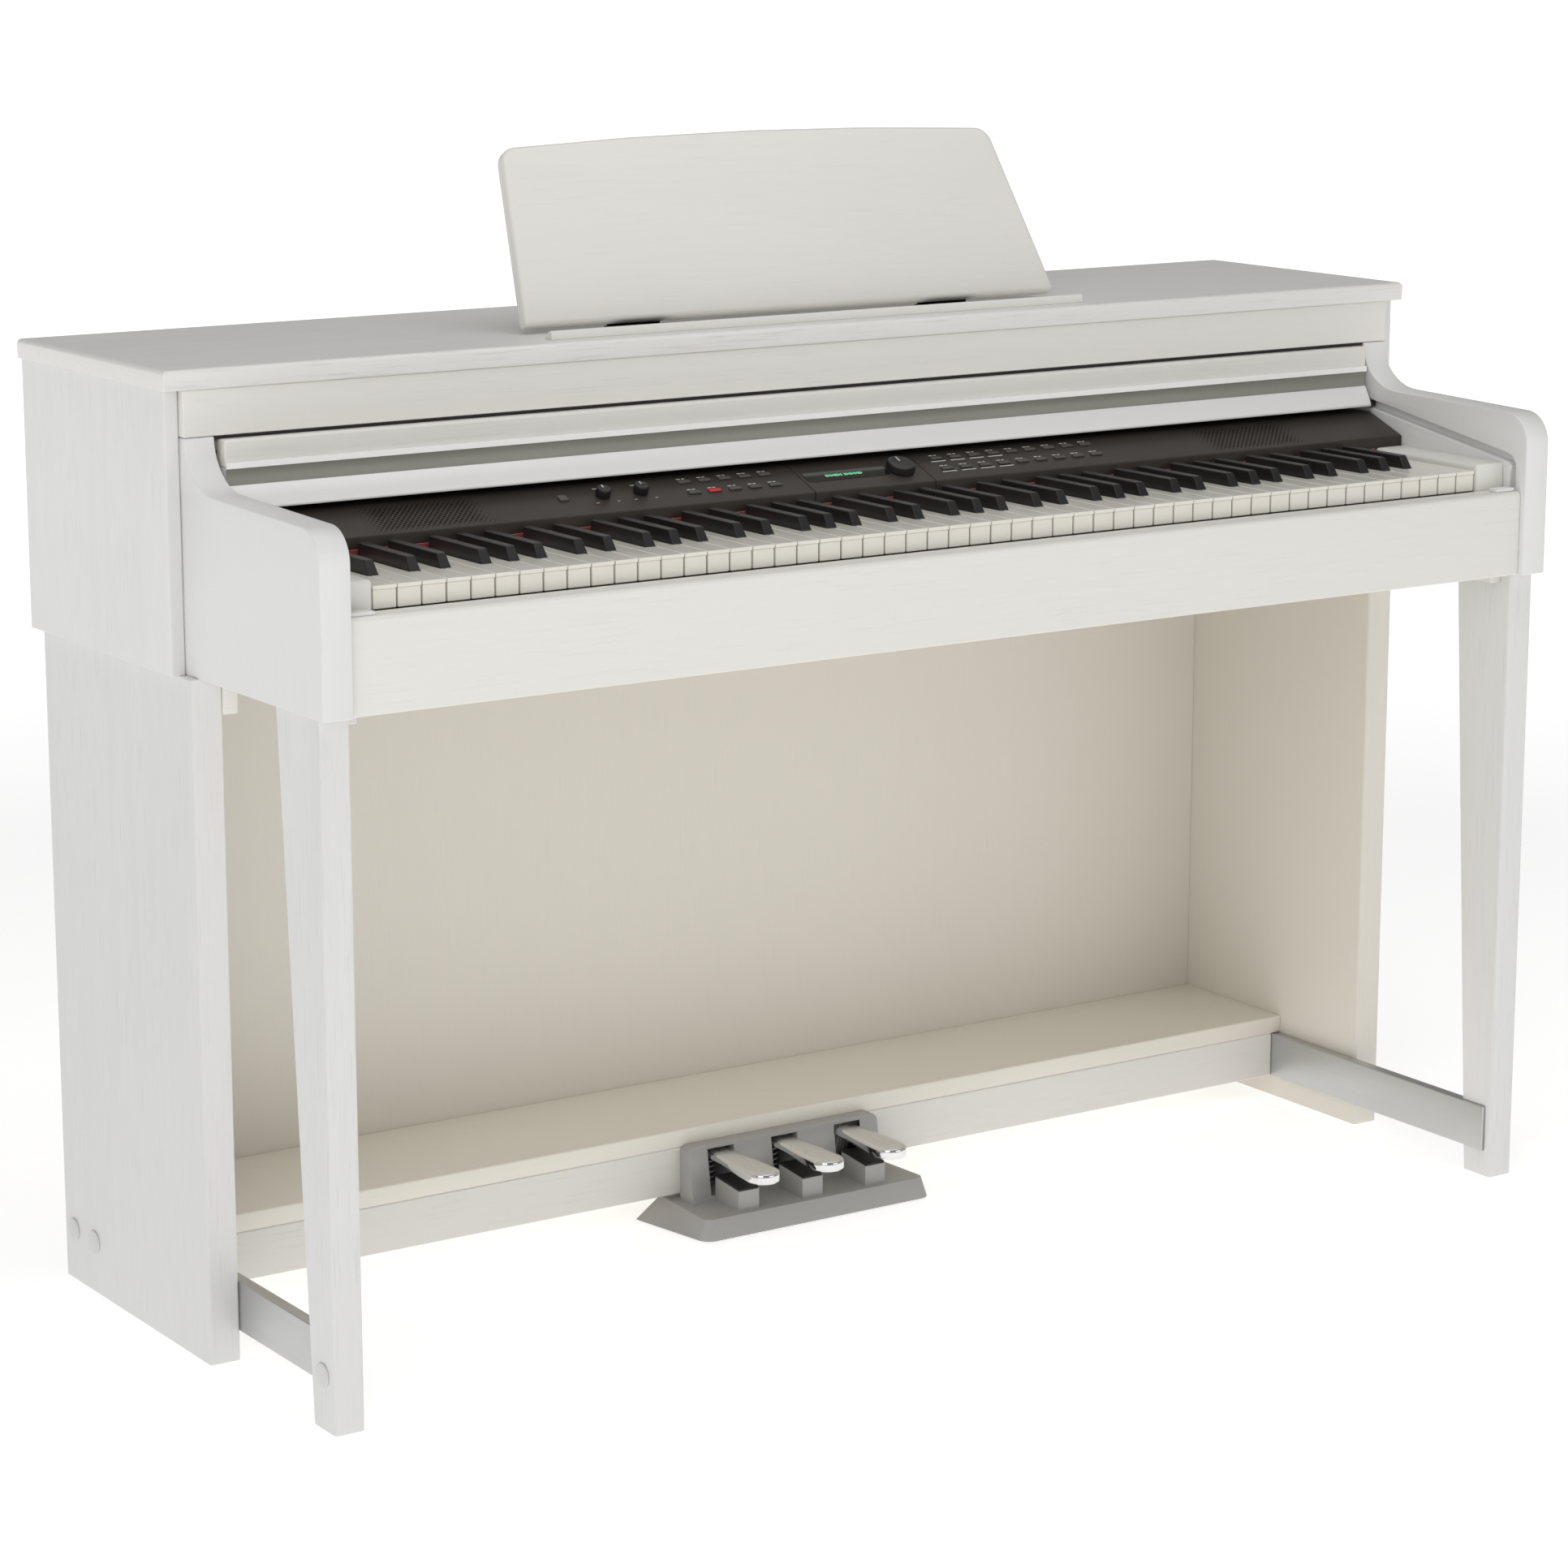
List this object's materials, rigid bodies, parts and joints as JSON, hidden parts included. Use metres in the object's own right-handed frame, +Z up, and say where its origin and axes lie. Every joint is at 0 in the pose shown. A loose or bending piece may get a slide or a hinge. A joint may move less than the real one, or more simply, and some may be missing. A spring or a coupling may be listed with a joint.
{
  "type": "digital piano",
  "caption": "Digital piano on a panel stand with a sliding key cover, folding music rest, sprung keys and three pedals",
  "frame": {"origin": "on the floor under the middle of the cabinet's bounding box", "axes": "+X towards the treble end, +Y towards the back, +Z up; the keys face -Y"},
  "size_m": [1.392, 0.545, 1.0597],
  "materials": {
    "white_board": "embossed ash grain, satin white paint foil",
    "satin_metal": "satin silver grey",
    "white_plastic": "satin",
    "white_key": "ivory-like satin gloss",
    "black_key": "ebony-like satin",
    "panel_plastic": "dark gunmetal satin",
    "black_plastic": "satin black",
    "cream_plastic": "satin cream",
    "red_felt": "woven felt",
    "red_plastic": "gloss",
    "display_gloss": "gloss black window",
    "steel": "zinc plated",
    "dark_steel": "black oxide",
    "circuit_board": "solder mask",
    "satin_aluminium": "satin anodised",
    "grey_plastic": "fine texture light grey",
    "black_rubber": "matte",
    "pedal_chrome": "satin top, polished rim"
  },
  "bodies": {
    "chassis": {"left_leg_panel": "white_board", "left_front_leg": "white_board", "right_leg_panel": "white_board", "right_front_leg": "white_board", "back_panel": "white_board", "beam_top": "white_board", "beam_front": "white_board", "top_lid": "white_board", "left_side_panel": "white_board", "left_arm": "white_board", "right_side_panel": "white_board", "right_arm": "white_board", "fascia": "white_board", "keybed": "white_board", "key_slip": "white_board", "cabinet_back": "white_board", "leg_brackets": "white_board", "rest_ledge": "white_board", "foot_rails": "satin_metal", "bolt_caps": "white_plastic", "slip_bumpers": "white_plastic", "panel_wings": "panel_plastic", "panel_centre": "panel_plastic", "jack_panel": "black_plastic", "cover_rails": "black_plastic", "speakers": "black_plastic", "key_blocks": "cream_plastic", "felt_strip": "red_felt", "display_window": "display_gloss", "key_frame": "steel", "rest_hinges": "dark_steel", "main_board": "circuit_board", "pedal_housing": "grey_plastic", "pedal_stops": "black_rubber", "pedal_axle": "steel", "left_spring": "steel", "middle_spring": "steel", "right_spring": "steel"},
    "key_cover": {"cover_board": "white_board", "cover_flap": "white_board", "cover_handle": "satin_aluminium", "cover_pins": "black_plastic"},
    "rest": {"music_rest": "white_board"},
    "key_c4_body": {"key_c4": "white_key"},
    "key_c_sharp4_body": {"key_c_sharp4": "black_key"},
    "key_d4_body": {"key_d4": "white_key"},
    "key_d_sharp4_body": {"key_d_sharp4": "black_key"},
    "key_e4_body": {"key_e4": "white_key"},
    "white_keys_body": {"white_keys": "white_key"},
    "black_keys_body": {"black_keys": "black_key"},
    "volume_knob_body": {"volume_knob": "black_plastic"},
    "brilliance_knob_body": {"brilliance_knob": "black_plastic"},
    "data_dial_body": {"data_dial": "black_plastic"},
    "power_button_body": {"power_button": "black_plastic"},
    "start_button_body": {"start_button": "red_plastic"},
    "left_buttons_body": {"left_buttons": "black_plastic"},
    "right_buttons_body": {"right_buttons": "black_plastic"},
    "left_pedal_body": {"left_pedal": "pedal_chrome"},
    "middle_pedal_body": {"middle_pedal": "pedal_chrome"},
    "right_pedal_body": {"right_pedal": "pedal_chrome"}
  },
  "joints": [
    {"name": "cover_slide", "type": "slide", "parent": "chassis", "child": "key_cover", "axis": [0, -0.988, -0.1547], "range_m": [0, 0.205]},
    {"name": "rest_fold", "type": "hinge", "parent": "chassis", "child": "rest", "pos_m": [0, 0.05284, 0.8912], "axis": [1, 0, 0], "range_deg": [-60, 0]},
    {"name": "key_c4_press", "type": "hinge", "parent": "chassis", "child": "key_c4_body", "pos_m": [-0.05875, -0.022, 0.7047], "axis": [1, 0, 0], "range_deg": [0, 2.6], "stiffness_Nm_per_rad": 0.4, "springref_deg": -28.65},
    {"name": "key_c_sharp4_press", "type": "hinge", "parent": "chassis", "child": "key_c_sharp4_body", "pos_m": [-0.05, -0.022, 0.7047], "axis": [1, 0, 0], "range_deg": [0, 3.2], "stiffness_Nm_per_rad": 0.3, "springref_deg": -28.65},
    {"name": "key_d4_press", "type": "hinge", "parent": "chassis", "child": "key_d4_body", "pos_m": [-0.03525, -0.022, 0.7047], "axis": [1, 0, 0], "range_deg": [0, 2.6], "stiffness_Nm_per_rad": 0.4, "springref_deg": -28.65},
    {"name": "key_d_sharp4_press", "type": "hinge", "parent": "chassis", "child": "key_d_sharp4_body", "pos_m": [-0.0205, -0.022, 0.7047], "axis": [1, 0, 0], "range_deg": [0, 3.2], "stiffness_Nm_per_rad": 0.3, "springref_deg": -28.65},
    {"name": "key_e4_press", "type": "hinge", "parent": "chassis", "child": "key_e4_body", "pos_m": [-0.01175, -0.022, 0.7047], "axis": [1, 0, 0], "range_deg": [0, 2.6], "stiffness_Nm_per_rad": 0.4, "springref_deg": -28.65},
    {"name": "white_keys_press", "type": "hinge", "parent": "chassis", "child": "white_keys_body", "pos_m": [0, -0.022, 0.7047], "axis": [1, 0, 0], "range_deg": [0, 2.6], "stiffness_Nm_per_rad": 19.6, "springref_deg": -28.65},
    {"name": "black_keys_press", "type": "hinge", "parent": "chassis", "child": "black_keys_body", "pos_m": [0, -0.022, 0.7047], "axis": [1, 0, 0], "range_deg": [0, 3.2], "stiffness_Nm_per_rad": 10.2, "springref_deg": -28.65},
    {"name": "volume_turn", "type": "hinge", "parent": "chassis", "child": "volume_knob_body", "pos_m": [-0.282, -0.064, 0.75158], "axis": [0, -0.3648, 0.9311], "range_deg": [-140, 140]},
    {"name": "brilliance_turn", "type": "hinge", "parent": "chassis", "child": "brilliance_knob_body", "pos_m": [-0.242, -0.064, 0.75158], "axis": [0, -0.3648, 0.9311], "range_deg": [-140, 140]},
    {"name": "dial_turn", "type": "hinge", "parent": "chassis", "child": "data_dial_body", "pos_m": [0.043, -0.067, 0.7504], "axis": [0, -0.3648, 0.9311], "continuous": true},
    {"name": "power_button_press", "type": "slide", "parent": "chassis", "child": "power_button_body", "axis": [0, 0.3648, -0.9311], "range_m": [0, 0.0008], "stiffness_N_per_m": 400, "springref_m": -0.003},
    {"name": "start_button_press", "type": "slide", "parent": "chassis", "child": "start_button_body", "axis": [0, 0.3648, -0.9311], "range_m": [0, 0.0008], "stiffness_N_per_m": 400, "springref_m": -0.003},
    {"name": "left_buttons_press", "type": "slide", "parent": "chassis", "child": "left_buttons_body", "axis": [0, 0.3648, -0.9311], "range_m": [0, 0.0008], "stiffness_N_per_m": 1600, "springref_m": -0.003},
    {"name": "right_buttons_press", "type": "slide", "parent": "chassis", "child": "right_buttons_body", "axis": [0, 0.3648, -0.9311], "range_m": [0, 0.0008], "stiffness_N_per_m": 3200, "springref_m": -0.003},
    {"name": "left_pedal_press", "type": "hinge", "parent": "chassis", "child": "left_pedal_body", "pos_m": [-0.075, 0.128, 0.058], "axis": [1, 0, 0], "range_deg": [0, 4.3], "stiffness_Nm_per_rad": 20, "springref_deg": -8.59, "deforming": ["left_spring"]},
    {"name": "middle_pedal_press", "type": "hinge", "parent": "chassis", "child": "middle_pedal_body", "pos_m": [0, 0.128, 0.058], "axis": [1, 0, 0], "range_deg": [0, 4.3], "stiffness_Nm_per_rad": 20, "springref_deg": -8.59, "deforming": ["middle_spring"]},
    {"name": "right_pedal_press", "type": "hinge", "parent": "chassis", "child": "right_pedal_body", "pos_m": [0.075, 0.128, 0.058], "axis": [1, 0, 0], "range_deg": [0, 4.3], "stiffness_Nm_per_rad": 20, "springref_deg": -8.59, "deforming": ["right_spring"]}
  ]
}
